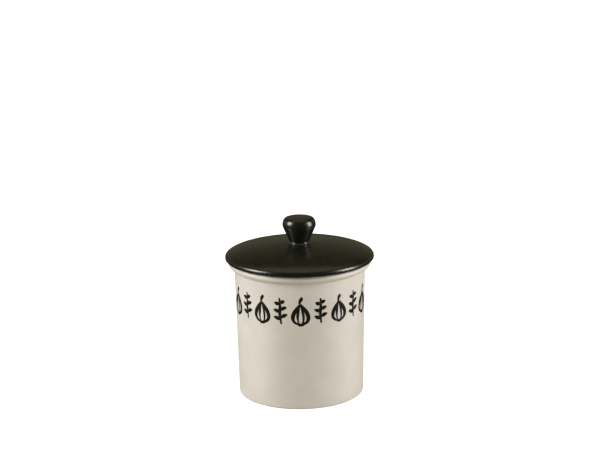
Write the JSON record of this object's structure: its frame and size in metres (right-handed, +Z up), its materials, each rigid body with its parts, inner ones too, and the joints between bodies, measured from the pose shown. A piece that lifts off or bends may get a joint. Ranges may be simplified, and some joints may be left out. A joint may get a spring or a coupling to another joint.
{
  "type": "garlic keeper",
  "caption": "Lidded ceramic garlic keeper: a cream jar with a rolled bead at its rim and vents at the back, under a black domed lid with a turned knob.",
  "frame": {"origin": "middle of the foot ring, on the surface that the jar stands on", "axes": "+Z up along the jar's axis, -Y to the front, +X to the right of someone who faces the front"},
  "size_m": [0.115, 0.115, 0.1391],
  "materials": {
    "cream_glaze": "satin cream glaze",
    "black_glaze": "warm black glaze"
  },
  "bodies": {
    "jar": {"jar_body": "cream_glaze"},
    "lid": {"lid_plate": "black_glaze", "lid_knob": "black_glaze"}
  },
  "joints": [
    {"name": "lid_lift", "type": "slide", "parent": "jar", "child": "lid", "axis": [0, 0, 1], "range_m": [0, 0.1]}
  ]
}
